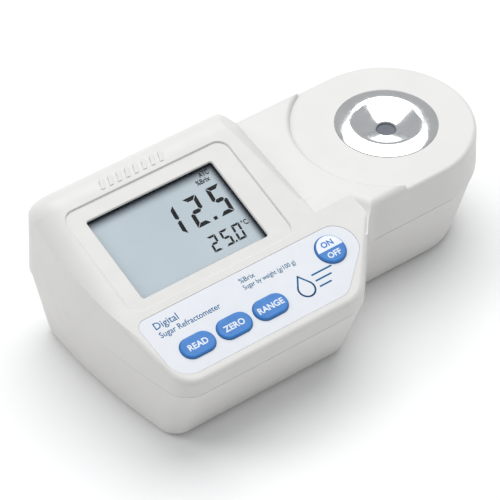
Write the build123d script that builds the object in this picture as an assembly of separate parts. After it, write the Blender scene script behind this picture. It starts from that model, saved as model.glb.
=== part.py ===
from build123d import *
import math
import os

os.makedirs("parts", exist_ok=True)

# Handheld digital refractometer, millimetres.
# Frame: X along the length (left to right for the user), Y away from the user,
# Z up, origin at the middle of the footprint on the bench.

# ---------------------------------------------------------------- case sizes
LENGTH = 192.0
DEPTH = 102.0
X_LEFT = -LENGTH / 2
Y_FRONT = -DEPTH / 2
Y_BACK = DEPTH / 2
FOOT_HEIGHT = 1.0
BASE_Z = FOOT_HEIGHT
SPLIT_Z = 33.5
SPLIT_GAP = 0.6
WALL = 2.4
DRAFT_UPPER = 2.2
DRAFT_LOWER = 13.5
DRAFT_FRONT = 21.0
DRAFT_LEFT = 9.0
LIP_STEP = 0.35
BASE_FILLET = 3.0
CORNER_X = -4.0
BOW_RADIUS = 274.0
BOW_Y = 17.0

# head with the sample well
HEAD_X = 59.0
HEAD_Y = 14.0
HEAD_R = 37.0
HEAD_Z = 50.55
NECK_Z = 52.5
NECK_Y = HEAD_Y - HEAD_R
HEAD_DISC_R = 38.8
KINK_X = 40.5

# sloped face that carries the display and the keys
SLOPE = 17.5
FACE_Y = -49.2
FACE_Z = 41.0
CREST_R = 12.6
WALL_OVERLAP = 0.02

# keypad lobe in front of the neck
LOBE_X = 0.0
LOBE_Y = -30.0
LOBE_R = 25.5
LOBE_FLOOR_R = 12.0
LOBE_DROP = 5.8
DISC_FLARE = 2.0

# softened edges of the upper case
RIM_R = 2.5
RIDGE_R = 3.0
NECK_RIM_R = 3.6
HEAD_RIM_R = 1.8


def face_at(x, v, n=0.0):
    """Location on the sloped face: v runs up the slope, n stands off it."""
    a = math.radians(SLOPE)
    y = FACE_Y + v * math.cos(a) - n * math.sin(a)
    z = FACE_Z + v * math.sin(a) + n * math.cos(a)
    return Location((x, y, z), (SLOPE, 0, 0))


def face_height(y):
    """Height of the sloped face above the bench at depth y."""
    return FACE_Z + (y - FACE_Y) * math.tan(math.radians(SLOPE))


def round_corners(sketch, corners):
    """Round the corner of a sketch nearest to each (x, y, radius)."""
    for x, y, radius in corners:
        corner = sketch.vertices().sort_by_distance(Vector(x, y, 0))[0]
        sketch = fillet(corner, radius)
    return sketch


def case_outline(front=0.0, rest=0.0, radii=(12.0, 10.5, 14.0, 9.0), left=None):
    """Outline of the case, its front, left and other edges moved inwards.

    The radii round the back left, front left, front right and inner corners."""
    y_back = Y_BACK - rest
    y_front = Y_FRONT + front
    y_neck = NECK_Y + rest
    radius = BOW_RADIUS - rest
    x_left = X_LEFT + (rest if left is None else left)
    run, rise = 25.5, 28.0
    length = math.hypot(run, rise)

    def on_diagonal(y):
        return CORNER_X + ((y - Y_FRONT) * run - rest * length) / rise

    back_left = (x_left + (y_back - BOW_Y) ** 2 / (2 * radius), y_back)
    front_left = (x_left + (y_front - BOW_Y) ** 2 / (2 * radius), y_front)
    corner = (on_diagonal(y_front), y_front)
    inner = (on_diagonal(y_neck), y_neck)
    head_right = (HEAD_X + HEAD_R - rest, HEAD_Y)
    edges = [
        ThreePointArc(back_left, (x_left, BOW_Y), front_left),
        Line(front_left, corner),
        Line(corner, inner),
        Line(inner, (HEAD_X, y_neck)),
        ThreePointArc((HEAD_X, y_neck), head_right, (HEAD_X, y_back)),
        Line((HEAD_X, y_back), back_left),
    ]
    sketch = Sketch() + make_face(edges)
    rounding = [(*point, r) for point, r in zip((back_left, front_left, corner, inner), radii)]
    return round_corners(sketch, rounding)


def slope_tool(inset=0.0):
    """Everything below the sloped face, with its broad rounded crest at the back.

    The left side leans outwards, so the rounding of the back left corner fades
    out along the left edge."""
    depth = 60.0
    spread = (SPLIT_Z + depth) * math.tan(math.radians(DRAFT_UPPER))
    y_back = Y_BACK + spread + WALL_OVERLAP - inset
    left_back = (X_LEFT - spread + 1.2 + inset, y_back)
    left_front = (X_LEFT - spread - 13.0 + inset, -90.0)
    points = [left_back, left_front, (90.0, -90.0), (90.0, y_back)]
    sketch = Sketch() + make_face(Polyline(*points, close=True))
    sketch = round_corners(sketch, [(*left_back, 15.0), (*left_front, 20.0), (*points[2], 20.0), (*points[3], 20.0)])
    block = Pos(0, 0, -depth) * extrude(sketch, amount=depth + 100, taper=DRAFT_UPPER)
    face_plane = Plane(face_at(0, 0, -inset))
    block &= extrude(face_plane * Rectangle(600, 600), amount=-300)
    return fillet(edges_on(block, face_plane), CREST_R - inset)


def beyond_ridge(drop=0.0):
    """Space to the right of the sloping flank between display body and neck."""
    top_back = Vector(-5.1 - drop, 35.0, 68.0)
    top_front = Vector(0.6 - drop, -6.0, 55.0)
    foot_back = Vector(7.4 - drop, 50.0, 55.0)
    normal = (top_front - top_back).cross(foot_back - top_back)
    if normal.X < 0:
        normal = -normal
    plane = Plane(origin=top_front, z_dir=normal)
    return extrude(plane * Rectangle(400, 400), amount=200)


def slab_below(z, size=400):
    """Half space below a height."""
    return Pos(0, 0, z) * Box(size, size, size, align=(Align.CENTER, Align.CENTER, Align.MAX))


def edges_at(shape, points):
    """The edge of a shape nearest to each of the given points."""
    return [min(shape.edges(), key=lambda e: e.distance_to(Vector(*p))) for p in points]


def edges_on(shape, plane):
    """All edges of a shape that lie in a plane."""
    def offset_from(edge, u):
        return abs((edge.position_at(u) - plane.origin).dot(plane.z_dir))
    return [e for e in shape.edges() if max(offset_from(e, u) for u in (0, 0.5, 1)) < 0.001]


def level(z):
    return Plane(origin=(0, 0, z))


def half_box(x=None, y=None):
    """Everything left of x, or in front of y."""
    if y is None:
        return Pos(x, 0, 0) * Box(400, 400, 400, align=(Align.MAX, Align.CENTER, Align.CENTER))
    return Pos(0, y, 0) * Box(400, 400, 400, align=(Align.CENTER, Align.MAX, Align.CENTER))


def sweep_down_tool(inset=0.0):
    """Bowl-shaped cut that blends the neck down to the keypad lobe."""
    top_z = NECK_Z - inset
    outer_r = LOBE_R + inset
    floor_r = LOBE_FLOOR_R + inset
    profile = [
        Line((0, 0), (floor_r, 0)),
        Line((floor_r, 0), (floor_r, top_z - LOBE_DROP)),
        ThreePointArc((floor_r, top_z - LOBE_DROP), (outer_r - 5.6, top_z - 3.8), (outer_r - 1.6, top_z - 1.15)),
        ThreePointArc((outer_r - 1.6, top_z - 1.15), (outer_r - 0.3, top_z - 0.4), (outer_r + 1.4, top_z)),
        Line((outer_r + 1.4, top_z), (outer_r + 1.4, top_z + 20)),
        Line((outer_r + 1.4, top_z + 20), (0, top_z + 20)),
        Line((0, top_z + 20), (0, 0)),
    ]
    solid = revolve(Plane.XZ * (Sketch() + make_face(profile)), axis=Axis.Z)
    return Pos(LOBE_X, LOBE_Y, 0) * solid


def disc_tool(inset=0.0):
    """Round zone of the head, flared where it meets the higher neck."""
    top_z = NECK_Z - inset
    r = HEAD_DISC_R + inset
    profile = [
        Line((0, 0), (r, 0)),
        Line((r, 0), (r, top_z - DISC_FLARE)),
        ThreePointArc((r, top_z - DISC_FLARE), (r + 0.3 * DISC_FLARE, top_z - 0.3 * DISC_FLARE), (r + DISC_FLARE, top_z)),
        Line((r + DISC_FLARE, top_z), (r + DISC_FLARE, top_z + 20)),
        Line((r + DISC_FLARE, top_z + 20), (0, top_z + 20)),
        Line((0, top_z + 20), (0, 0)),
    ]
    solid = revolve(Plane.XZ * (Sketch() + make_face(profile)), axis=Axis.Z)
    return Pos(HEAD_X, HEAD_Y, 0) * solid


def upper_body(inset=0.0, soften=False):
    """Solid envelope of the upper case, shrunk by the inset."""
    outline = case_outline()
    if inset:
        outline = offset(outline, amount=-inset)
    prism = Pos(0, 0, SPLIT_Z) * extrude(outline, amount=50, taper=DRAFT_UPPER)
    face_plane = Plane(face_at(0, 0, -inset))
    disc_zone = Pos(HEAD_X, HEAD_Y, 0) * Cylinder(HEAD_DISC_R + inset, 200)
    disc_zone += box_between(KINK_X - inset, 120, -80, 80, -20, 120)

    # display body and keypad lobe under the sloped face
    sloped = prism & extrude(face_plane * Rectangle(500, 500), amount=-200)
    if soften:
        sloped = fillet(edges_on(sloped, face_plane), RIM_R)
    sloped &= slope_tool(inset)
    beyond = beyond_ridge(inset)
    display = sloped - beyond
    if soften:
        display = fillet(edges_at(display, [(-2.4, 15.5, 61.4)]), RIDGE_R)
    lobe = sloped & half_box(x=LOBE_X + LOBE_R - inset) & half_box(y=-5.2)
    lobe -= beyond - slab_below(NECK_Z - inset)

    # neck, cut back by the lobe and by the head
    neck = prism & slab_below(NECK_Z - inset)
    if soften:
        neck = fillet(edges_on(neck, level(NECK_Z - inset)), NECK_RIM_R)
    neck &= half_box(x=KINK_X - inset)
    neck -= half_box(x=-3.0)
    neck -= half_box(y=LOBE_Y)
    neck = neck - sweep_down_tool(inset) - disc_tool(inset)
    neck = neck.solids().sort_by(SortBy.VOLUME)[-1]

    head = prism & slab_below(HEAD_Z - inset)
    if soften:
        head = fillet(edges_on(head, level(HEAD_Z - inset)), HEAD_RIM_R)
    head &= disc_zone
    return display, lobe, neck, head


# ------------------------------------------------------------- small helpers
def disc_at(x, y, z0, z1, radius):
    """Upright cylinder between two heights."""
    return Pos(x, y, z0) * Cylinder(radius, z1 - z0, align=(Align.CENTER, Align.CENTER, Align.MIN))


def box_between(x0, x1, y0, y1, z0, z1):
    """Box given by its limits."""
    return Pos(x0, y0, z0) * Box(x1 - x0, y1 - y0, z1 - z0, align=(Align.MIN, Align.MIN, Align.MIN))


def face_slab(sketch, n0, n1):
    """A sketch drawn in (x, v) on the sloped face, made solid from n0 to n1."""
    return face_at(0, 0, n0) * extrude(sketch, amount=n1 - n0)


def face_rect(x, v, width, height, radius=0.0):
    """Rectangle on the sloped face, with round corners."""
    shape = RectangleRounded(width, height, radius) if radius else Rectangle(width, height)
    return Pos(x, v, 0) * (Sketch() + shape)


def face_disc(x, v, radius, n0, n1):
    return face_slab(Pos(x, v, 0) * (Sketch() + Circle(radius)), n0, n1)


def capsule(x, v, length, width):
    return Pos(x, v, 0) * (Sketch() + SlotOverall(length, width))


def group(solids):
    """Several loose solids that share one node."""
    return Compound(children=[s for part in solids for s in part.solids()])


# --------------------------------------------------------------- fitted sizes
BEZEL_X, BEZEL_V = -48.3, 59.35
BEZEL_W, BEZEL_H, BEZEL_R = 76.3, 50.0, 5.0
BEZEL_DEPTH = 0.7
BEZEL_CHAMFER = 0.35
WINDOW_X, WINDOW_V = -49.5, 58.3
WINDOW_W, WINDOW_H = 59.0, 39.0
LENS_W, LENS_H, LENS_T = 62.0, 42.0, 1.15
LENS_TOP = -1.75
GLASS_W, GLASS_H, GLASS_T = 64.0, 44.0, 2.4
GLASS_TOP = -3.4
HOLDER_W, HOLDER_H = 67.0, 47.0
PCB_TOP = -9.0
PCB_T = 1.6

OVERLAY_T = 0.25
OVERLAY_POCKET = 0.35
KEY_V = 11.9
KEY_XS = {"key_read": -72.6, "key_zero": -55.6, "key_range": -38.6}
KEY_L, KEY_W = 15.0, 9.0
POWER_X, POWER_V, POWER_R = -2.8, 21.5, 6.3
KEY_RISE = 0.9
KEY_GAP = 0.2
KEY_FLANGE = 1.0
KEY_TRAVEL = 0.5

NAMEPLATE = (-50.5, 89.0, 27.5, 4.4)
NAMEPLATE_BARS = 8

DISC_R = 20.9
DISC_BOSS_R = 16.5
CREST_RAD = 14.8
CREST_RISE = 1.5
HOLE_R = 4.0
BOWL_DEPTH = 2.7

TUB_X, TUB_Y = -42.0, 3.0
TUB_R = 33.4
TUB_WALL = 1.2
TUB_ROOF_Z = 22.4
BATTERY_Z = 4.6
COVER_R = 31.0
COVER_GAP = 0.3
LUG_ARC = 22.0
BATTERY = (48.5, 26.5, 17.5)

SCREW_SEAT = 17.0
CASE_SCREWS = [(-80, 36), (-80, -20), (-20, -31), (2, 36), (31, -7), (69.5, 35), (65, -8.7)]
PCB_SCREWS = [(-86, 40), (-86, 76), (-10, 76), (-10, 40)]
FEET = [(-79, 22), (-70, -28), (76, 23), (75, 3)]


# ------------------------------------------------------------------ the case
def overlay_outline(margin=0.0):
    """Keypad label: long strip with a big rounded end around the power key."""
    m = margin
    points = [
        (-88.6 - m, 30.8 + m),
        (9.2 + m, 30.8 + m),
        (9.2 + m, 17.6 - m),
        (-8.4 + m, 2.2 - m),
        (-87.0 - m, 2.2 - m),
    ]
    sketch = Sketch() + make_face(Polyline(*points, close=True))
    corners = [
        (*points[0], 4.0 + m),
        (*points[1], 9.0 + m),
        (*points[2], 8.0 + m),
        (*points[3], 8.0 + m),
        (*points[4], 9.5 + m),
    ]
    return round_corners(sketch, corners)


def key_holes(clearance):
    """Openings for the four keys, drawn on the sloped face."""
    holes = Sketch()
    for x in KEY_XS.values():
        holes += capsule(x, KEY_V, KEY_L + 2 * clearance, KEY_W + 2 * clearance)
    holes += Pos(POWER_X, POWER_V, 0) * Circle(POWER_R + clearance)
    return holes


def gasket_ring(outer_inset, width, z0, z1):
    outline = case_outline()
    ring = offset(outline, amount=-outer_inset) - offset(outline, amount=-outer_inset - width)
    return Pos(0, 0, z0) * extrude(ring, amount=z1 - z0)


def sunk(sketch, floor_n, top_n):
    """Cutter for a recess whose upper edge is bevelled."""
    shaft = face_slab(sketch, floor_n, top_n + 3)
    bevel_n = top_n - BEZEL_CHAMFER
    bevel = face_at(0, 0, bevel_n) * extrude(sketch, amount=BEZEL_CHAMFER + 0.1, taper=-45)
    return shaft + bevel


def merge(parts):
    solid = parts[0]
    for part in parts[1:]:
        solid = solid + part
    return solid


def make_upper_case():
    outer = merge(upper_body(soften=True))
    cavity = merge(upper_body(inset=WALL))

    posts = []
    for x, y in CASE_SCREWS:
        posts.append(disc_at(x, y, SPLIT_Z, 70, 3.6))
    for x, v in PCB_SCREWS:
        posts.append(face_disc(x, v, 2.4, PCB_TOP, 0))
    posts = merge(posts) & cavity
    case = outer - cavity + posts

    for x, y in CASE_SCREWS:
        case -= disc_at(x, y, SPLIT_Z - 1, SPLIT_Z + 6.0, 1.5)
    for x, v in PCB_SCREWS:
        case -= face_disc(x, v, 1.0, PCB_TOP - 1, -3.4)

    # sunk frame round the display, its opening and the seat of the clear window
    case -= sunk(face_rect(BEZEL_X, BEZEL_V, BEZEL_W, BEZEL_H, BEZEL_R), -BEZEL_DEPTH, 0)
    case -= sunk(face_rect(WINDOW_X, WINDOW_V, WINDOW_W, WINDOW_H, 1.0), -6, -BEZEL_DEPTH)
    case -= face_slab(face_rect(WINDOW_X, WINDOW_V, LENS_W + 0.4, LENS_H + 0.4, 1.0), -6, LENS_TOP + 0.05)

    # shallow bed of the keypad label and the key openings
    case -= face_slab(overlay_outline(0.15), -OVERLAY_POCKET, 4)
    case -= face_slab(key_holes(KEY_GAP), -6, 4)

    # seat of the sample well
    case -= disc_at(HEAD_X, HEAD_Y, HEAD_Z - 0.8, HEAD_Z + 3, DISC_R + 0.15)
    case -= disc_at(HEAD_X, HEAD_Y, HEAD_Z - 6, HEAD_Z, DISC_BOSS_R + 0.2)
    groove = disc_at(HEAD_X, HEAD_Y, HEAD_Z - 1.5, HEAD_Z, 19.4)
    groove -= disc_at(HEAD_X, HEAD_Y, HEAD_Z - 2, HEAD_Z, 17.8)
    case -= groove

    case -= gasket_ring(1.3, 0.8, SPLIT_Z - 1, SPLIT_Z + 0.6)
    return case.solids().sort_by(SortBy.VOLUME)[-1]


def lower_body(inset, floor_z):
    """Tapered envelope of the lower case, down to a floor height."""
    top_z = SPLIT_Z - SPLIT_GAP
    fall = top_z - floor_z
    front = LIP_STEP + inset + fall * math.tan(math.radians(DRAFT_FRONT))
    rest = LIP_STEP + inset + fall * math.tan(math.radians(DRAFT_LOWER))
    left = LIP_STEP + inset + fall * math.tan(math.radians(DRAFT_LEFT))
    top_radii = (12.0 - inset, 10.5 - inset, 14.0 - inset, 9.0 + inset)
    floor_radii = (7.5 - inset, 8.5 - inset, 11.0 - inset, 13.0 + inset)
    rim = Pos(0, 0, top_z) * case_outline(LIP_STEP + inset, LIP_STEP + inset, top_radii)
    floor = Pos(0, 0, floor_z) * case_outline(front, rest, floor_radii, left)
    return loft([floor, rim], ruled=True)


def make_lower_case():
    outer = lower_body(0.0, BASE_Z)
    outer = fillet(edges_on(outer, level(BASE_Z)), BASE_FILLET)
    case = outer - lower_body(WALL, BASE_Z + WALL)

    tub = disc_at(TUB_X, TUB_Y, BASE_Z, TUB_ROOF_Z + TUB_WALL, TUB_R + TUB_WALL)
    posts = [tub]
    for x, y in CASE_SCREWS:
        posts.append(disc_at(x, y, BASE_Z + 0.5, SPLIT_Z - SPLIT_GAP, 4.0))
    case += merge(posts) & (outer + tub)
    case -= disc_at(TUB_X, TUB_Y, BASE_Z + WALL, TUB_ROOF_Z, TUB_R)
    case -= disc_at(TUB_X, TUB_Y, 0, BASE_Z + WALL + 1, COVER_R + COVER_GAP)
    for i in range(3):
        case -= lug(LUG_ARC + 4, COVER_R + 2.5, BASE_Z - 2, BASE_Z + WALL + 1, 120 * i - 30)
    case -= box_between(-13, -10, TUB_Y - 4, TUB_Y + 4, TUB_ROOF_Z - 5, TUB_ROOF_Z + 4)

    for x, y in CASE_SCREWS:
        case -= disc_at(x, y, 0, SCREW_SEAT, 3.1)
        case -= disc_at(x, y, 0, SPLIT_Z + 1, 1.7)
    for x, y in FEET:
        case -= disc_at(x, y, 0, BASE_Z + 0.5, 5.1)
    case -= label_box(0.1, 0.3)
    case -= gasket_ring(1.3, 0.8, SPLIT_Z - 1.5, SPLIT_Z + 1)
    return case.solids().sort_by(SortBy.VOLUME)[-1]


def lug(arc, radius, z0, z1, angle):
    """Wedge of a disc, used for the twist-lock lugs and their notches."""
    a = math.radians(arc / 2)
    reach = radius * 1.2
    points = [(0, 0), (reach * math.cos(a), -reach * math.sin(a)), (reach * math.cos(a), reach * math.sin(a))]
    sector = Sketch() + make_face(Polyline(*points, close=True))
    sector &= Circle(radius)
    solid = extrude(sector, amount=z1 - z0)
    return Pos(TUB_X, TUB_Y, z0) * Rot(0, 0, angle) * solid


def label_box(margin, thick):
    return box_between(24 - margin, 64 + margin, 2 - margin, 26 + margin, BASE_Z - 1, BASE_Z + thick)


# ----------------------------------------------------------- display and keys
def make_lens():
    return face_slab(face_rect(WINDOW_X, WINDOW_V, LENS_W, LENS_H, 0.8), LENS_TOP - LENS_T, LENS_TOP)


def make_window_gasket():
    ring = face_rect(WINDOW_X, WINDOW_V, LENS_W, LENS_H) - face_rect(WINDOW_X, WINDOW_V, WINDOW_W + 0.4, WINDOW_H + 0.4)
    return face_slab(ring, GLASS_TOP, LENS_TOP - LENS_T)


def make_lcd_glass():
    front = face_slab(face_rect(WINDOW_X, WINDOW_V, GLASS_W, GLASS_H - 5), GLASS_TOP - 1.2, GLASS_TOP)
    back = face_slab(face_rect(WINDOW_X, WINDOW_V, GLASS_W, GLASS_H), GLASS_TOP - GLASS_T, GLASS_TOP - 1.2)
    return front + back


def make_lcd_holder():
    block = face_slab(face_rect(WINDOW_X, WINDOW_V, HOLDER_W, HOLDER_H, 1.5), PCB_TOP, GLASS_TOP - 0.6)
    block -= face_slab(face_rect(WINDOW_X, WINDOW_V, GLASS_W + 0.2, GLASS_H + 0.2), GLASS_TOP - GLASS_T, 0)
    block -= face_slab(face_rect(WINDOW_X, WINDOW_V, GLASS_W - 6, GLASS_H - 12), PCB_TOP - 1, 0)
    for side in (-1, 1):
        slot = face_rect(WINDOW_X, WINDOW_V + side * 19.0, 60.4, 2.8)
        block -= face_slab(slot, PCB_TOP - 1, 0)
    return block


def make_zebra_strips():
    strips = []
    for side in (-1, 1):
        bar = face_rect(WINDOW_X, WINDOW_V + side * 19.0, 60.0, 2.4)
        strips.append(face_slab(bar, PCB_TOP, GLASS_TOP - GLASS_T))
    return group(strips)


def make_main_pcb():
    points = [(-84, 6), (-12, 6), (6, 23), (6, 57), (-2, 68), (-2, 86), (-88.5, 86), (-88.5, 26)]
    board = face_slab(Sketch() + make_face(Polyline(*points, close=True)), PCB_TOP - PCB_T, PCB_TOP)
    for x, y in CASE_SCREWS:
        board -= disc_at(x, y, 0, 70, 4.6)
    for x, v in PCB_SCREWS:
        board -= face_disc(x, v, 1.2, PCB_TOP - 3, PCB_TOP + 1)
    return board


def make_pcb_screws():
    screws = []
    for x, v in PCB_SCREWS:
        head = face_disc(x, v, 1.9, PCB_TOP - PCB_T - 1.3, PCB_TOP - PCB_T)
        shaft = face_disc(x, v, 0.95, PCB_TOP - PCB_T - 0.1, -4.0)
        screws.append(head + shaft)
    return group(screws)


def make_microcontroller():
    body = face_slab(face_rect(-9, 57, 9, 9), PCB_TOP + 0.15, PCB_TOP + 1.5)
    for i in range(8):
        along = -3.5 + i
        body += face_slab(face_rect(-9 + along, 57, 0.4, 11), PCB_TOP, PCB_TOP + 0.3)
        body += face_slab(face_rect(-9, 57 + along, 11, 0.4), PCB_TOP, PCB_TOP + 0.3)
    return body


def make_pcb_components():
    chips = [(-9, 69, 5, 4, 1.4), (0, 50, 4, 5, 1.4), (-2, 38, 6, 3, 1.6), (-10, 84, 10, 2.5, 2.5), (1, 44, 2, 1.2, 0.8)]
    chips += [(-6, 32, 2, 1.2, 0.8), (-12, 33, 2, 1.2, 0.8), (3, 33, 2, 1.2, 0.8), (-66, 26, 5, 4, 1.4)]
    parts = [face_slab(face_rect(x, v, w, h), PCB_TOP, PCB_TOP + t) for x, v, w, h, t in chips]
    parts.append(face_slab(face_rect(-1, 58, 4, 11), PCB_TOP - PCB_T - 2.4, PCB_TOP - PCB_T))
    parts.append(face_slab(face_rect(-14, 49, 8, 5), PCB_TOP - PCB_T - 3.0, PCB_TOP - PCB_T))
    return group(parts)


def make_tact_switches():
    switches = []
    for x, v in [(x, KEY_V) for x in KEY_XS.values()] + [(POWER_X, POWER_V)]:
        body = face_slab(face_rect(x, v, 6, 6, 0.5), PCB_TOP, PCB_TOP + 3.5)
        switches.append(body + face_disc(x, v, 1.7, PCB_TOP + 3.4, PCB_TOP + 4.1))
    return group(switches)


def make_overlay():
    return face_slab(overlay_outline() - key_holes(KEY_GAP), -OVERLAY_POCKET, -OVERLAY_POCKET + OVERLAY_T)


def make_key(cap, flange, x, v):
    """Key with a domed cap, a retaining flange and a stem over its switch."""
    body = face_slab(cap, -WALL - 0.3, KEY_RISE)
    body = fillet(edges_on(body, Plane(face_at(0, 0, KEY_RISE))), 0.85)
    body += face_slab(flange, -WALL - 0.9, -WALL - 0.1)
    stem_end = PCB_TOP + 4.1 + KEY_TRAVEL + 0.1
    return body + face_disc(x, v, 1.6, stem_end, -WALL - 0.5)


# ------------------------------------------------------ sample well and optics
def make_well_disc():
    z = HEAD_Z
    crest = (CREST_RAD, z + CREST_RISE)
    bowl_end = (HOLE_R + 0.4, z - BOWL_DEPTH)
    profile = [
        Line((HOLE_R, z - BOWL_DEPTH - 1.0), (HOLE_R, z - BOWL_DEPTH - 0.35)),
        Line((HOLE_R, z - BOWL_DEPTH - 0.35), bowl_end),
        ThreePointArc(bowl_end, (9.0, z - 0.75), (13.2, z + CREST_RISE - 0.3)),
        ThreePointArc((13.2, z + CREST_RISE - 0.3), (crest[0] - 0.7, crest[1] - 0.06), (crest[0] + 0.1, crest[1])),
        ThreePointArc((crest[0] + 0.1, crest[1]), (18.6, z + 1.05), (DISC_R - 0.1, z + 0.25)),
        Line((DISC_R - 0.1, z + 0.25), (DISC_R, z + 0.1)),
        Line((DISC_R, z + 0.1), (DISC_R, z - 0.8)),
        Line((DISC_R, z - 0.8), (DISC_BOSS_R, z - 0.8)),
        Line((DISC_BOSS_R, z - 0.8), (DISC_BOSS_R, z - 4.2)),
        Line((DISC_BOSS_R, z - 4.2), (9.4, z - 4.2)),
        Line((9.4, z - 4.2), (9.4, z - 3.7)),
        Line((9.4, z - 3.7), (6.6, z - 3.7)),
        Line((6.6, z - 3.7), (6.6, z - 3.3)),
        Line((6.6, z - 3.3), (4.8, z - 3.3)),
        Line((4.8, z - 3.3), (4.8, z - 3.7)),
        Line((4.8, z - 3.7), (HOLE_R, z - BOWL_DEPTH - 1.0)),
    ]
    disc = revolve(Plane.XZ * (Sketch() + make_face(profile)), axis=Axis.Z)
    disc = Pos(HEAD_X, HEAD_Y, 0) * disc
    for sx in (-1, 1):
        for sy in (-1, 1):
            disc -= disc_at(HEAD_X + 9.8 * sx, HEAD_Y + 9.8 * sy, z - 5, z - 1.6, 1.05)
    return disc


def ring_at(x, y, z0, z1, outer, inner):
    return disc_at(x, y, z0, z1, outer) - disc_at(x, y, z0 - 1, z1 + 1, inner)


PRISM_TOP = HEAD_Z - 3.85
BEAM_TILT = 28.0
BLOCK_SEAT = HEAD_Z - 9.4


def along_beam(side, distance):
    """Frame on the light path: side -1 towards the lamp, +1 towards the sensor."""
    a = math.radians(BEAM_TILT)
    x = HEAD_X + side * distance * math.cos(a)
    z = PRISM_TOP - 2.5 - distance * math.sin(a)
    return Location((x, HEAD_Y, z), (0, side * (90 + BEAM_TILT), 0))


def make_prism():
    top, bottom, height = 13.0, 6.0, 6.0
    points = [
        (-top / 2, PRISM_TOP),
        (top / 2, PRISM_TOP),
        (top / 2, PRISM_TOP - 1.2),
        (bottom / 2, PRISM_TOP - height),
        (-bottom / 2, PRISM_TOP - height),
        (-top / 2, PRISM_TOP - 1.2),
    ]
    sketch = Plane.XZ.offset(-HEAD_Y - 6) * (Sketch() + make_face(Polyline(*points, close=True)))
    return Pos(HEAD_X, 0, 0) * extrude(sketch, amount=12)


def make_optical_block():
    top = HEAD_Z - 4.25
    block = box_between(HEAD_X - 21, HEAD_X + 21, HEAD_Y - 13.5, HEAD_Y + 13.5, HEAD_Z - 21.9, top)
    for side in (-1, 1):
        block -= along_beam(side, 21.6) * Box(60, 60, 40, align=(Align.CENTER, Align.CENTER, Align.MIN))
    block -= box_between(HEAD_X - 6.95, HEAD_X + 6.95, HEAD_Y - 6.1, HEAD_Y + 6.1, PRISM_TOP - 6.2, top + 1)
    block -= along_beam(-1, 0) * Cylinder(4.5, 40, align=(Align.CENTER, Align.CENTER, Align.MIN))
    block -= along_beam(1, 0) * Box(8, 17, 40, align=(Align.CENTER, Align.CENTER, Align.MIN))
    for sx in (-1, 1):
        for sy in (-1, 1):
            x, y = HEAD_X + 9.8 * sx, HEAD_Y + 9.8 * sy
            block -= disc_at(x, y, 10, top + 1, 1.3)
            block -= disc_at(x, y, 10, BLOCK_SEAT, 2.4)
    return block.solids().sort_by(SortBy.VOLUME)[-1]


def make_block_screws():
    screws = []
    for sx in (-1, 1):
        for sy in (-1, 1):
            x, y = HEAD_X + 9.8 * sx, HEAD_Y + 9.8 * sy
            screw = disc_at(x, y, BLOCK_SEAT - 1.7, BLOCK_SEAT, 2.1) + disc_at(x, y, BLOCK_SEAT - 0.1, HEAD_Z - 2.0, 1.0)
            screws.append(screw - disc_at(x, y, BLOCK_SEAT - 2.0, BLOCK_SEAT - 0.9, 0.8))
    return group(screws)


def make_beam_board(side, height):
    board = along_beam(side, 21.7) * Box(height, 25, 1.2, align=(Align.CENTER, Align.CENTER, Align.MIN))
    return board


def make_led():
    body = along_beam(-1, 15.2) * Cylinder(2.5, 6.4, align=(Align.CENTER, Align.CENTER, Align.MIN))
    dome = along_beam(-1, 15.2) * Sphere(2.5)
    collar = along_beam(-1, 20.4) * Cylinder(2.9, 1.2, align=(Align.CENTER, Align.CENTER, Align.MIN))
    return body + dome + collar


def make_lens_element():
    blank = along_beam(-1, 9.6) * Cylinder(4.3, 2.6, align=(Align.CENTER, Align.CENTER, Align.MIN))
    return blank & (along_beam(-1, 17.6) * Sphere(8.0))


def make_image_sensor():
    body = along_beam(1, 19.6) * Box(6.4, 15.0, 2.0, align=(Align.CENTER, Align.CENTER, Align.MIN))
    return body - along_beam(1, 19.5) * Box(1.2, 11.0, 0.5, align=(Align.CENTER, Align.CENTER, Align.MIN))


def make_thermistor():
    x, y, z = HEAD_X, HEAD_Y + 15.0, HEAD_Z - 4.2 - 1.15
    bead = Pos(x, y, z) * Sphere(1.1)
    for dx in (-0.6, 0.6):
        bead += disc_at(x + dx, y, HEAD_Z - 15.4, z, 0.25)
    return bead


def ribbon(points, radii, width, y):
    """Flat cable of even thickness that follows a bent path in the XZ plane."""
    path = FilletPolyline(*points, radius=radii)
    strip = trace(path, line_width=0.35)
    return extrude(Plane.XZ.offset(-y - width / 2) * strip, amount=width)


def make_flex_cable():
    floor_z = HEAD_Z - 24.4
    path = [(1.1, 45.6), (10, 43.0), (24, floor_z), (HEAD_X + 19.0, floor_z), (HEAD_X + 24.0, floor_z + 4.0)]
    return ribbon(path, 3.0, 9.0, HEAD_Y)


# ------------------------------------------------------------ battery and base
def make_battery():
    length, width, height = BATTERY
    x0 = TUB_X - 2.2 - length / 2
    z0 = BATTERY_Z
    body = box_between(x0, x0 + length - 1.5, TUB_Y - width / 2, TUB_Y + width / 2, z0, z0 + height)
    body = fillet(body.edges().filter_by(Axis.X), 1.6)
    for side, radius in ((-1, 2.8), (1, 3.6)):
        post = Pos(x0 + length - 1.6, TUB_Y + side * 6.35, z0 + height / 2) * Rot(0, 90, 0)
        body += post * Cylinder(radius, 2.4, align=(Align.CENTER, Align.CENTER, Align.MIN))
    return body


def make_battery_snap():
    length, width, height = BATTERY
    x0 = TUB_X - 2.2 + length / 2 + 1.0
    z0 = BATTERY_Z
    plate = box_between(x0, x0 + 3.0, TUB_Y - 12, TUB_Y + 12, z0 + 3, z0 + height - 2)
    return fillet(plate.edges().filter_by(Axis.X), 3.0)


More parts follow.
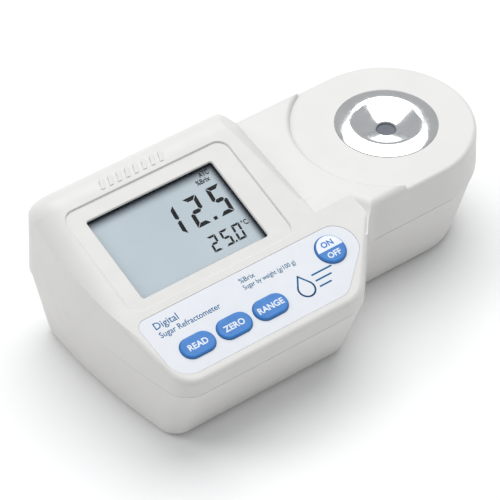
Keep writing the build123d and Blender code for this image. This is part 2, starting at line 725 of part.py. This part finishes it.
def make_battery_leads():
    leads = []
    start_x = TUB_X - 2.2 + BATTERY[0] / 2 + 4.05
    for dy in (-1.0, 1.0):
        y = TUB_Y + dy
        points = [(start_x, y, 14), (-11.5, y, 14), (-11.5, y, 42.2)]
        path = FilletPolyline(*points, radius=1.8)
        section = Plane(origin=path @ 0, z_dir=path % 0) * Circle(0.6)
        leads.append(sweep(section, path=path))
    return group(leads)


def make_battery_cover():
    z = BASE_Z
    cover = disc_at(TUB_X, TUB_Y, z, z + WALL, COVER_R)
    for i in range(3):
        tab = lug(LUG_ARC, COVER_R + 2.0, z + WALL + 0.15, z + WALL + 2.0, 120 * i)
        cover += tab - disc_at(TUB_X, TUB_Y, z, z + 20, COVER_R - 1.6)
    cover += ring_at(TUB_X, TUB_Y, z + WALL - 0.1, z + WALL + 2.0, COVER_R - 0.2, COVER_R - 1.6)
    cover -= ring_at(TUB_X, TUB_Y, z + 1.0, z + 2.2, COVER_R + 3, COVER_R - 0.8)
    cover -= Pos(TUB_X, TUB_Y, z) * Box(26, 3.0, 2.4)
    rim = disc_at(TUB_X, TUB_Y, z - 1, z + 0.4, 24) - disc_at(TUB_X, TUB_Y, z - 2, z + 1, 22.8)
    return cover - rim


def make_cover_oring():
    ring = Pos(TUB_X, TUB_Y, BASE_Z + 1.6) * Torus(COVER_R - 0.25, 0.5)
    return ring


def make_case_screws():
    screws = []
    for x, y in CASE_SCREWS:
        head_z = SCREW_SEAT - 2.2
        screw = disc_at(x, y, head_z, SCREW_SEAT, 2.7) + disc_at(x, y, SCREW_SEAT - 0.1, SPLIT_Z + 5.5, 1.45)
        slot = Pos(x, y, head_z) * (Box(3.2, 0.8, 2.0) + Box(0.8, 3.2, 2.0))
        screws.append(screw - slot)
    return group(screws)


def make_nameplate():
    """Row of low slanted bars moulded on the rim above the display."""
    x0, v0, width, height = NAMEPLATE
    bars = []
    for i in range(NAMEPLATE_BARS):
        x = x0 - width / 2 + width * i / (NAMEPLATE_BARS - 1)
        points = [(x - 1.6, v0 - height / 2), (x, v0 - height / 2), (x + 1.6, v0 + height / 2), (x, v0 + height / 2)]
        bar = Sketch() + make_face(Polyline(*points, close=True))
        bars.append(face_slab(bar, 0, 0.3))
    return group(bars)


def make_feet():
    pads = []
    for x, y in FEET:
        pad = disc_at(x, y, 0, BASE_Z + 0.5, 5.0)
        pads.append(fillet(edges_on(pad, level(0)), 0.4))
    return group(pads)


# --------------------------------------------------------------------- export
def save(name, shape):
    export_step(shape, "parts/" + name + ".step")


upper_case = make_upper_case()
save("upper_case", upper_case)
save("lower_case", make_lower_case())
save("case_gasket", gasket_ring(1.4, 0.6, SPLIT_Z - 1.45, SPLIT_Z + 0.6))
save("case_screws", make_case_screws())
save("rubber_feet", make_feet())
save("rating_label", label_box(0, 0.15) - slab_below(BASE_Z))

save("nameplate", make_nameplate())
save("lcd_window", make_lens())
save("window_gasket", make_window_gasket())
save("lcd_glass", make_lcd_glass())
save("lcd_holder", make_lcd_holder())
save("zebra_strips", make_zebra_strips())
save("main_pcb", make_main_pcb())
save("pcb_screws", make_pcb_screws())
save("microcontroller", make_microcontroller())
save("pcb_components", make_pcb_components())
save("tact_switches", make_tact_switches())
save("keypad_overlay", make_overlay())

for name, x in KEY_XS.items():
    cap = capsule(x, KEY_V, KEY_L, KEY_W)
    flange = capsule(x, KEY_V, KEY_L + 2 * KEY_FLANGE, KEY_W + 2 * KEY_FLANGE)
    save(name, make_key(cap, flange, x, KEY_V))
power_cap = Pos(POWER_X, POWER_V, 0) * (Sketch() + Circle(POWER_R))
power_flange = Pos(POWER_X, POWER_V, 0) * (Sketch() + Circle(POWER_R + KEY_FLANGE))
save("key_power", make_key(power_cap, power_flange, POWER_X, POWER_V))

save("well_disc", make_well_disc())
save("well_seal", ring_at(HEAD_X, HEAD_Y, HEAD_Z - 1.5, HEAD_Z - 0.8, 19.3, 17.9))
save("clamp_ring", ring_at(HEAD_X, HEAD_Y, HEAD_Z - 4.2, HEAD_Z - WALL, 19.6, 16.8))
save("prism_seal", ring_at(HEAD_X, HEAD_Y, PRISM_TOP, HEAD_Z - 3.3, 6.5, 4.9))
save("prism", make_prism())
save("optical_block", make_optical_block())
save("block_screws", make_block_screws())
save("lamp_board", make_beam_board(-1, 12.0))
save("yellow_led", make_led())
save("beam_lens", make_lens_element())
save("sensor_board", make_beam_board(1, 12.0))
save("image_sensor", make_image_sensor())
save("thermistor", make_thermistor())
save("flex_cable", make_flex_cable())

save("battery_9v", make_battery())
save("battery_snap", make_battery_snap())
save("battery_leads", make_battery_leads())
save("battery_cover", make_battery_cover())
save("cover_oring", make_cover_oring())
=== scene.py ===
import math

import bpy
from mathutils import Matrix, Vector


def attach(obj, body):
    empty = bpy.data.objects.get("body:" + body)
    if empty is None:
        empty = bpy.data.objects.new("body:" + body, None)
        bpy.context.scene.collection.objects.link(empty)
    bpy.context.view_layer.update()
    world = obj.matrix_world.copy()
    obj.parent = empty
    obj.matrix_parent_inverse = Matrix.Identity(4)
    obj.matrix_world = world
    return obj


# Handheld digital refractometer: looks, printed marks, display content, studio.
# Points on the sloped face are in millimetres (x, v, n), everything else in
# metres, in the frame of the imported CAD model.

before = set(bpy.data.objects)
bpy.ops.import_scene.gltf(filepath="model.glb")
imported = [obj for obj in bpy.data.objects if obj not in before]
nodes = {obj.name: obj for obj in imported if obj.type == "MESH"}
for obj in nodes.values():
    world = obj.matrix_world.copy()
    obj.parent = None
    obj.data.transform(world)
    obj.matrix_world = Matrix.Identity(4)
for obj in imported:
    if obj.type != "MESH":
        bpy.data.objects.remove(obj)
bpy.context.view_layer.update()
MM = 0.001


# --------------------------------------------------------------- sloped face
SLOPE = math.radians(17.5)
FACE_Y, FACE_Z = -49.2, 41.0
UP_SLOPE = Vector((0.0, math.cos(SLOPE), math.sin(SLOPE)))
OFF_FACE = Vector((0.0, -math.sin(SLOPE), math.cos(SLOPE)))


def on_face(x, v, n):
    """Point at (x, v) on the sloped face, n millimetres off it, in metres."""
    origin = Vector((x, FACE_Y, FACE_Z))
    return (origin + UP_SLOPE * v + OFF_FACE * n) * MM


# ---------------------------------------------------------------- materials
def srgb(red, green, blue):
    """Linear colour from display values of 0 to 255."""
    def linear(value):
        value /= 255.0
        return value / 12.92 if value <= 0.04045 else ((value + 0.055) / 1.055) ** 2.4
    return (linear(red), linear(green), linear(blue), 1.0)


EDGE_SHARPNESS = 20000.0


class Finish:
    """A procedural material built around one Principled shader."""

    def __init__(self, name, colour, roughness, metallic=0.0, specular=0.5):
        self.material = bpy.data.materials.new(name)
        self.material.use_nodes = True
        self.tree = self.material.node_tree
        self.tree.nodes.clear()
        self.output = self.add("ShaderNodeOutputMaterial")
        self.shader = self.add("ShaderNodeBsdfPrincipled")
        self.join(self.shader.outputs["BSDF"], self.output.inputs["Surface"])
        self.coords = self.add("ShaderNodeTexCoord").outputs["Object"]
        self.colour = colour
        self.roughness = roughness
        self.set("Base Color", colour)
        self.set("Roughness", roughness)
        self.set("Metallic", metallic)
        self.set("Specular IOR Level", specular)

    def add(self, kind, **settings):
        node = self.tree.nodes.new(kind)
        for key, value in settings.items():
            setattr(node, key, value)
        return node

    def join(self, source, target):
        self.tree.links.new(source, target)

    def set(self, socket, value):
        self.shader.inputs[socket].default_value = value

    def noise(self, scale, detail=2.0, stretch=(1.0, 1.0, 1.0)):
        """Noise value with a grain of about 1 / scale metres."""
        mapping = self.add("ShaderNodeMapping")
        mapping.inputs["Scale"].default_value = stretch
        self.join(self.coords, mapping.inputs["Vector"])
        noise = self.add("ShaderNodeTexNoise")
        noise.inputs["Scale"].default_value = scale
        noise.inputs["Detail"].default_value = detail
        self.join(mapping.outputs["Vector"], noise.inputs["Vector"])
        return noise.outputs["Fac"]

    def remap(self, value, low, high, from_low=0.35, from_high=0.65):
        node = self.add("ShaderNodeMapRange")
        node.inputs["From Min"].default_value = from_low
        node.inputs["From Max"].default_value = from_high
        node.inputs["To Min"].default_value = low
        node.inputs["To Max"].default_value = high
        self.join(value, node.inputs["Value"])
        return node.outputs["Result"]

    def math(self, operation, first, second=0.0, clamp=False):
        node = self.add("ShaderNodeMath", operation=operation, use_clamp=clamp)
        for socket, value in zip(node.inputs, (first, second)):
            if isinstance(value, (int, float)):
                socket.default_value = value
            else:
                self.join(value, socket)
        return node.outputs["Value"]

    def mix(self, factor, first, second):
        """Colour between two colours or colour outputs."""
        node = self.add("ShaderNodeMix", data_type="RGBA")
        self.join(factor, node.inputs["Factor"])
        for socket, value in zip((node.inputs[6], node.inputs[7]), (first, second)):
            if isinstance(value, tuple):
                socket.default_value = value
            else:
                self.join(value, socket)
        return node.outputs[2]

    def tint(self, amount, scale, detail=3.0):
        """Uneven colour: the base colour varied by a share of itself."""
        light = tuple(min(1.0, c * (1 + amount)) for c in self.colour[:3]) + (1.0,)
        dark = tuple(c * (1 - amount) for c in self.colour[:3]) + (1.0,)
        mixed = self.mix(self.remap(self.noise(scale, detail), 0, 1), dark, light)
        self.join(mixed, self.shader.inputs["Base Color"])
        return self

    def uneven_gloss(self, amount, scale, stretch=(1.0, 1.0, 1.0)):
        low, high = self.roughness - amount, self.roughness + amount
        value = self.remap(self.noise(scale, 3.0, stretch), low, high)
        self.join(value, self.shader.inputs["Roughness"])
        return self

    def grain(self, scale, height, stretch=(1.0, 1.0, 1.0), detail=3.0):
        """Fine surface relief, height in millimetres."""
        bump = self.add("ShaderNodeBump")
        bump.inputs["Strength"].default_value = 1.0
        bump.inputs["Distance"].default_value = height * MM
        self.join(self.noise(scale, detail, stretch), bump.inputs["Height"])
        self.join(bump.outputs["Normal"], self.shader.inputs["Normal"])
        return self

    def across(self, axis):
        """Signed distance along an axis through the row frame's origin, in metres."""
        dot = self.add("ShaderNodeVectorMath", operation="DOT_PRODUCT")
        dot.inputs[1].default_value = axis
        self.join(self.coords, dot.inputs[0])
        return dot.outputs["Value"]


def moulded(name, colour, roughness=0.45, grain=0.012):
    """Spark-eroded injection-moulded plastic."""
    finish = Finish(name, colour, roughness)
    finish.tint(0.012, 45.0).uneven_gloss(0.05, 160.0)
    finish.grain(5200.0, grain)
    return finish


def rubber(name, colour):
    finish = Finish(name, colour, 0.72, specular=0.35)
    return finish.tint(0.12, 300.0).uneven_gloss(0.08, 500.0).grain(3500.0, 0.02)


def metal(name, colour, roughness):
    finish = Finish(name, colour, roughness, metallic=1.0)
    finish.tint(0.03, 90.0).uneven_gloss(roughness * 0.35, 240.0)
    return finish


def paint(node_names, finish):
    """Gives CAD nodes one material."""
    for node_name in node_names:
        node = nodes[node_name]
        node.data.materials.clear()
        node.data.materials.append(finish.material)


CASE_WHITE = (0.69, 0.683, 0.668, 1.0)
case_plastic = moulded("case_plastic", CASE_WHITE, 0.42)
base_plastic = moulded("base_plastic", (0.69, 0.68, 0.66, 1.0), 0.48)
cover_plastic = moulded("cover_plastic", (0.67, 0.66, 0.645, 1.0), 0.5)
paint(["upper_case", "nameplate"], case_plastic)
paint(["lower_case"], base_plastic)
paint(["battery_cover"], cover_plastic)
paint(["case_gasket", "cover_oring"], rubber("gasket_rubber", srgb(62, 55, 46)))
paint(["rubber_feet"], rubber("feet_rubber", srgb(70, 70, 72)))
paint(["well_seal", "prism_seal"], rubber("seal_rubber", srgb(40, 40, 42)))
paint(["window_gasket"], rubber("window_foam", srgb(38, 40, 44)))

steel = metal("well_steel", (0.80, 0.81, 0.82, 1.0), 0.12)
paint(["well_disc", "clamp_ring"], steel)
paint(["case_screws", "pcb_screws", "block_screws"], metal("screw_steel", srgb(150, 150, 152), 0.3))
paint(["microcontroller", "pcb_components", "image_sensor"], moulded("chip_plastic", srgb(30, 31, 34), 0.5))
paint(["tact_switches", "lcd_holder", "battery_snap"], moulded("black_plastic", srgb(26, 27, 29), 0.45))
paint(["zebra_strips"], rubber("zebra_rubber", srgb(60, 62, 68)))
paint(["optical_block"], moulded("block_plastic", srgb(22, 22, 24), 0.6))
paint(["thermistor"], moulded("bead_resin", srgb(30, 24, 20), 0.3))
paint(["battery_leads"], moulded("lead_sleeve", srgb(150, 28, 24), 0.45))
paint(["battery_9v"], metal("battery_can", srgb(96, 100, 108), 0.35))
paint(["main_pcb", "lamp_board", "sensor_board"], moulded("solder_mask", srgb(18, 84, 48), 0.32))
paint(["flex_cable"], moulded("flex_film", srgb(176, 110, 32), 0.3))
paint(["rating_label"], moulded("label_film", srgb(196, 198, 202), 0.35, 0.004))


def keypad_film():
    finish = Finish("keypad_film", (0.71, 0.735, 0.78, 1.0), 0.38)
    finish.tint(0.008, 60.0).uneven_gloss(0.04, 220.0).grain(9000.0, 0.004)
    return finish


def key_blue(name="key_blue"):
    finish = Finish(name, srgb(58, 124, 197), 0.36, specular=0.3)
    finish.tint(0.05, 260.0).uneven_gloss(0.05, 400.0).grain(7000.0, 0.006)
    return finish


POWER_KEY = (-2.8, 21.5)
POWER_RADIUS, POWER_OUTLINE = 6.3, 0.5


def power_two_tone():
    """Power key: white upper half with a blue outline, and blue lower half."""
    finish = Finish("power_two_tone", srgb(50, 116, 190), 0.36, specular=0.3)
    finish.uneven_gloss(0.05, 400.0).grain(7000.0, 0.006)
    centre = on_face(*POWER_KEY, 0.0)
    up = finish.math("SUBTRACT", finish.across(UP_SLOPE), UP_SLOPE.dot(centre))
    along = finish.math("SUBTRACT", finish.across((1, 0, 0)), centre.x)
    squares = finish.math("ADD", finish.math("MULTIPLY", up, up), finish.math("MULTIPLY", along, along))
    distance = finish.math("SQRT", squares)
    inside = finish.math("SUBTRACT", (POWER_RADIUS - POWER_OUTLINE) * MM, distance)
    inside = finish.math("MULTIPLY", inside, EDGE_SHARPNESS, clamp=True)
    upper = finish.math("MULTIPLY", up, EDGE_SHARPNESS, clamp=True)
    white_part = finish.math("MULTIPLY", upper, inside)
    white = finish.mix(finish.remap(finish.noise(260.0), 0, 1), srgb(226, 231, 240), srgb(236, 240, 247))
    blue = finish.mix(finish.remap(finish.noise(260.0), 0, 1), srgb(54, 119, 193), srgb(61, 127, 200))
    finish.join(finish.mix(white_part, blue, white), finish.shader.inputs["Base Color"])
    return finish


paint(["keypad_overlay"], keypad_film())
paint(["key_read", "key_zero", "key_range"], key_blue())
paint(["key_power"], power_two_tone())


def clear_window():
    finish = Finish("clear_window", (0.35, 0.37, 0.40, 1.0), 0.04)
    finish.uneven_gloss(0.015, 120.0)
    finish.set("Alpha", 0.015)
    finish.set("Specular IOR Level", 0.1)
    return finish


def prism_glass():
    finish = Finish("prism_glass", srgb(104, 108, 118), 0.03)
    finish.tint(0.05, 300.0).uneven_gloss(0.01, 500.0)
    finish.set("Coat Weight", 0.6)
    return finish


# Display edges, and the widths in millimetres of the painted shade bands along its right and top edges.
LCD_RIGHT, LCD_TOP = -20.0, 77.6
RIGHT_SHADE, TOP_SHADE = 3.2, 4.4


def lcd_glass():
    """Grey-blue reflective display with painted shade: darker next to its top and right edges, where the
    recess walls shade it.
    """
    finish = Finish("lcd_glass", srgb(184, 196, 203), 0.5, specular=0.2)
    right = finish.math("SUBTRACT", LCD_RIGHT * MM, finish.across((1, 0, 0)))
    top_edge = UP_SLOPE.dot(on_face(0, LCD_TOP, -3.0))
    top = finish.math("SUBTRACT", top_edge, finish.across(UP_SLOPE))
    near_right = finish.remap(right, 1.0, 0.0, 0.0, RIGHT_SHADE * MM)
    near_top = finish.remap(top, 1.0, 0.0, 0.0, TOP_SHADE * MM)
    shade = finish.math("MAXIMUM", near_right, near_top)
    shade = finish.math("POWER", shade, 1.6)
    cloud = finish.mix(finish.remap(finish.noise(25.0), 0, 1), srgb(181, 193, 200), srgb(188, 199, 206))
    # Painted shade: the display colour runs to dark grey-blue towards its top and right edges.
    mixed = finish.mix(shade, cloud, srgb(74, 82, 94))
    finish.join(mixed, finish.shader.inputs["Base Color"])
    finish.uneven_gloss(0.04, 90.0)
    return finish


paint(["lcd_window", "beam_lens"], clear_window())
paint(["prism"], prism_glass())
paint(["lcd_glass"], lcd_glass())
led = moulded("led_epoxy", srgb(230, 190, 60), 0.15)
paint(["yellow_led"], led)


# ----------------------------------------------------------- flat mark meshes
def mesh_piece(name, verts, faces, material, body):
    """A piece from world-frame points, riding on a CAD body."""
    mesh = bpy.data.meshes.new(name)
    mesh.from_pydata([tuple(v) for v in verts], [], faces)
    mesh.update()
    piece = bpy.data.objects.new(name, mesh)
    bpy.context.scene.collection.objects.link(piece)
    mesh.materials.append(material)
    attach(piece, body)
    return piece


class Marks:
    """Flat printed shapes collected on the sloped face at one height."""

    def __init__(self, height):
        self.height = height
        self.verts = []
        self.faces = []

    def polygon(self, outline):
        """Adds a filled outline of (x, v) points, in order."""
        start = len(self.verts)
        self.verts += [on_face(x, v, self.height) for x, v in outline]
        self.faces.append(tuple(range(start, start + len(outline))))

    def stroke(self, points, width):
        """Adds an open line of even width."""
        for (x0, v0), (x1, v1) in zip(points, points[1:]):
            along = Vector((x1 - x0, v1 - v0)).normalized()
            side = Vector((-along.y, along.x)) * width / 2
            end = along * width / 2
            corners = [
                (x0 - end.x + side.x, v0 - end.y + side.y),
                (x0 - end.x - side.x, v0 - end.y - side.y),
                (x1 + end.x - side.x, v1 + end.y - side.y),
                (x1 + end.x + side.x, v1 + end.y + side.y),
            ]
            self.polygon(corners)

    def text(self, words, x, v, size, align="LEFT", width=1.0, bold=0.0, slant=0.0):
        """Adds a line of lettering whose baseline starts at (x, v)."""
        curve = bpy.data.curves.new("lettering", "FONT")
        curve.body = words
        curve.size = size
        curve.align_x = align
        curve.offset = bold
        curve.shear = slant
        curve.resolution_u = 3
        letters = bpy.data.objects.new("lettering", curve)
        bpy.context.scene.collection.objects.link(letters)
        bpy.context.view_layer.update()
        mesh = bpy.data.meshes.new_from_object(letters)
        start = len(self.verts)
        for vert in mesh.vertices:
            self.verts.append(on_face(x + vert.co.x * width, v + vert.co.y, self.height))
        for face in mesh.polygons:
            self.faces.append(tuple(start + i for i in face.vertices))
        bpy.data.objects.remove(letters)
        bpy.data.curves.remove(curve)
        bpy.data.meshes.remove(mesh)

    def piece(self, name, material, body="case"):
        return mesh_piece(name, self.verts, self.faces, material, body)


def ink(name, colour, roughness=0.5):
    finish = Finish(name, colour, roughness, specular=0.1)
    return finish.tint(0.08, 900.0).uneven_gloss(0.05, 600.0).material


# -------------------------------------------------------------- LCD contents
SEGMENTS = {
    "0": "abcdef",
    "1": "bc",
    "2": "abged",
    "5": "afgcd",
}
LCD_HEIGHT = -3.37
LCD_SLANT = math.tan(math.radians(6.0))


def digit(marks, character, x, v, width, height, thick):
    """Seven-segment digit with its lower left corner at (x, v)."""
    gap = thick * 0.12
    t = thick
    half = height / 2
    bar = [(gap, 0), (width - gap, 0), (width - gap - t, t), (gap + t, t)]
    lit = SEGMENTS[character]
    shapes = {
        "d": bar,
        "a": [(px, height - py) for px, py in bar],
        "g": [
            (t * 0.5 + gap, half),
            (t + gap, half + t / 2),
            (width - t - gap, half + t / 2),
            (width - t * 0.5 - gap, half),
            (width - t - gap, half - t / 2),
            (t + gap, half - t / 2),
        ],
        "e": [(0, gap), (t, gap + t), (t, half - t / 2 - gap), (t * 0.45, half - gap), (0, half - t * 0.4)],
    }
    shapes["f"] = [(px, height - py) for px, py in shapes["e"]]
    shapes["c"] = [(width - px, py) for px, py in shapes["e"]]
    shapes["b"] = [(width - px, height - py) for px, py in shapes["e"]]
    for segment in lit:
        outline = [(x + px + py * LCD_SLANT, v + py) for px, py in shapes[segment]]
        marks.polygon(outline)


display = Marks(LCD_HEIGHT)
BIG = (6.3, 13.6, 1.75)
BIG_BASELINE = 55.7
for character, x in (("1", -51.9), ("2", -40.9), ("5", -29.9)):
    digit(display, character, x, BIG_BASELINE, *BIG)
display.polygon([(-33.1, 55.7), (-31.5, 55.7), (-31.35, 57.2), (-32.95, 57.2)])
SMALL = (3.8, 7.3, 0.95)
SMALL_BASELINE = 43.4
for character, x in (("2", -41.5), ("5", -35.8), ("0", -30.1)):
    digit(display, character, x, SMALL_BASELINE, *SMALL)
display.polygon([(-31.5, 43.4), (-30.7, 43.4), (-30.6, 44.3), (-31.4, 44.3)])
display.text("°C", -24.9, 48.3, 3.3, width=0.8, bold=0.07)
display.text("ATC", -27.0, 74.7, 3.2, width=0.72, bold=0.07, slant=0.12)
display.text("%Brix", -30.2, 71.9, 3.1, width=0.86, bold=0.07, slant=0.12)
display.piece("lcd_content", ink("lcd_ink", srgb(10, 11, 13)))


# ------------------------------------------------------- printing on the keys
OVERLAY_TOP = -0.10
PRINT = OVERLAY_TOP + 0.02
KEY_TOP = 0.92
print_blue = ink("print_blue", srgb(18, 98, 148))
print_grey = ink("print_grey_blue", srgb(52, 104, 140))
legend_white = ink("legend_white", srgb(226, 234, 244))
legend_blue = ink("legend_blue", srgb(62, 122, 200))

title = Marks(PRINT)
title.text("Digital", -83.0, 24.8, 4.3, bold=0.03)
title.text("Sugar Refractometer", -83.0, 20.9, 3.5, width=0.94, bold=0.03)
title.piece("title_print", print_blue)

units = Marks(PRINT)
units.text("%Brix", -42.8, 25.9, 3.0, bold=0.03)
units.text("Sugar by weight (g/100 g)", -42.9, 22.9, 2.8, width=0.86, bold=0.03)
units.piece("units_print", print_grey)


def droplet(marks, x, v, height, line):
    """Outline of a drop of juice with its tip at the top."""
    radius = height * 0.36
    centre_v = v - height / 2 + radius
    tip = (x, v + height / 2)
    turn = math.acos(radius / (tip[1] - centre_v))
    start = math.pi / 2 + turn
    sweep = 2 * math.pi - 2 * turn
    points = [tip]
    for step in range(25):
        angle = start + sweep * step / 24
        points.append((x + radius * math.cos(angle), centre_v + radius * math.sin(angle)))
    points.append(tip)
    marks.stroke(points, line)


ICON_LINE = 0.7
icon = Marks(PRINT)
droplet(icon, -21.5, 13.0, 9.5, ICON_LINE)
for end, v in ((-7.0, 15.6), (-9.0, 12.8), (-11.0, 10.0)):
    icon.stroke([(-16.0, v), (end, v)], ICON_LINE)
icon.piece("drop_print", print_blue)

KEYS = {"read": -72.7, "zero": -55.8, "range": -38.8}
KEY_BASELINE = 10.6
POWER_LEGEND_X = -3.0
for key, x in KEYS.items():
    legend = Marks(KEY_TOP)
    legend.text(key.upper(), x, KEY_BASELINE, 3.6, align="CENTER", bold=0.1)
    legend.piece("legend_" + key, legend_white, "key_" + key)

on_word = Marks(KEY_TOP)
on_word.text("ON", POWER_LEGEND_X, 22.8, 3.5, align="CENTER", bold=0.1)
on_word.piece("legend_on", legend_blue, "key_power")
off_word = Marks(KEY_TOP)
off_word.text("OFF", POWER_LEGEND_X, 17.8, 3.5, align="CENTER", bold=0.1)
off_word.piece("legend_off", legend_white, "key_power")


# -------------------------------------------------------------------- studio
FLOOR_HALF, FLOOR_STEPS = 4.0, 8


def make_floor():
    """Plain pale floor under the feet, as a grid."""
    half, steps = FLOOR_HALF, FLOOR_STEPS
    mesh = bpy.data.meshes.new("floor")
    verts = []
    faces = []
    for j in range(steps + 1):
        for i in range(steps + 1):
            verts.append((-half + 2 * half * i / steps, -half + 2 * half * j / steps, 0.0))
    for j in range(steps):
        for i in range(steps):
            a = j * (steps + 1) + i
            faces.append((a, a + 1, a + steps + 2, a + steps + 1))
    mesh.from_pydata(verts, [], faces)
    floor = bpy.data.objects.new("floor", mesh)
    bpy.context.scene.collection.objects.link(floor)
    sweep = Finish("paper_floor", (0.93, 0.93, 0.93, 1.0), 0.85, specular=0.1)
    sweep.tint(0.004, 6.0)
    mesh.materials.append(sweep.material)


WORLD_STRENGTH = 0.50
TOP_LIGHT_PLACE, TOP_LIGHT_TARGET = (0.36, 0.42, 1.42), (0.05, 0.0, 0.03)
TOP_LIGHT_WIDTH, TOP_LIGHT_POWER = 1.6, 17.5
SIDE_LIGHT_PLACE, SIDE_LIGHT_TARGET = (-1.2, 0.9, 1.4), (0.0, 0.0, 0.0)
SIDE_LIGHT_WIDTH, SIDE_LIGHT_POWER = 1.0, 8.0


def softbox(name, place, target, width, power):
    light = bpy.data.lights.new(name, "AREA")
    light.shape = "DISK"
    light.size = width
    light.energy = power
    lamp = bpy.data.objects.new(name, light)
    bpy.context.scene.collection.objects.link(lamp)
    lamp.location = place
    direction = Vector(target) - Vector(place)
    lamp.rotation_mode = "QUATERNION"
    lamp.rotation_quaternion = direction.to_track_quat("-Z", "Y")
    return lamp


def make_world(strength):
    world = bpy.data.worlds.new("studio")
    world.use_nodes = True
    background = world.node_tree.nodes["Background"]
    background.inputs["Color"].default_value = (0.97, 0.985, 1.0, 1.0)
    background.inputs["Strength"].default_value = strength
    bpy.context.scene.world = world


CAMERA_PLACE = Vector((-0.5064, -0.6433, 0.7886))
CAMERA_AZIMUTH, CAMERA_ELEVATION, CAMERA_ROLL = -37.10, 43.05, 0.35
SENSOR_WIDTH, FOCAL_LENGTH = 36.0, 203.4936


def make_camera():
    """Camera aimed by its angles in degrees; sensor and lens in millimetres."""
    azimuth, elevation = math.radians(CAMERA_AZIMUTH), math.radians(CAMERA_ELEVATION)
    roll = math.radians(CAMERA_ROLL)
    data = bpy.data.cameras.new("camera")
    data.sensor_width = SENSOR_WIDTH
    data.lens = FOCAL_LENGTH
    data.clip_start, data.clip_end = 0.05, 20.0
    camera = bpy.data.objects.new("camera", data)
    bpy.context.scene.collection.objects.link(camera)
    back = Vector((
        math.sin(azimuth) * math.cos(elevation),
        -math.cos(azimuth) * math.cos(elevation),
        math.sin(elevation),
    ))
    right = Vector((math.cos(azimuth), math.sin(azimuth), 0.0))
    up = back.cross(right)
    turned_right = right * math.cos(roll) + up * math.sin(roll)
    turned_up = up * math.cos(roll) - right * math.sin(roll)
    turn = Matrix((turned_right, turned_up, back)).transposed()
    camera.matrix_world = Matrix.Translation(CAMERA_PLACE) @ turn.to_4x4()
    bpy.context.scene.camera = camera


make_camera()
make_floor()
make_world(WORLD_STRENGTH)
softbox("top_softbox", TOP_LIGHT_PLACE, TOP_LIGHT_TARGET, TOP_LIGHT_WIDTH, TOP_LIGHT_POWER)
side = softbox("side_softbox", SIDE_LIGHT_PLACE, SIDE_LIGHT_TARGET, SIDE_LIGHT_WIDTH, SIDE_LIGHT_POWER)
side.visible_glossy = False
bpy.context.scene.view_settings.view_transform = "Standard"
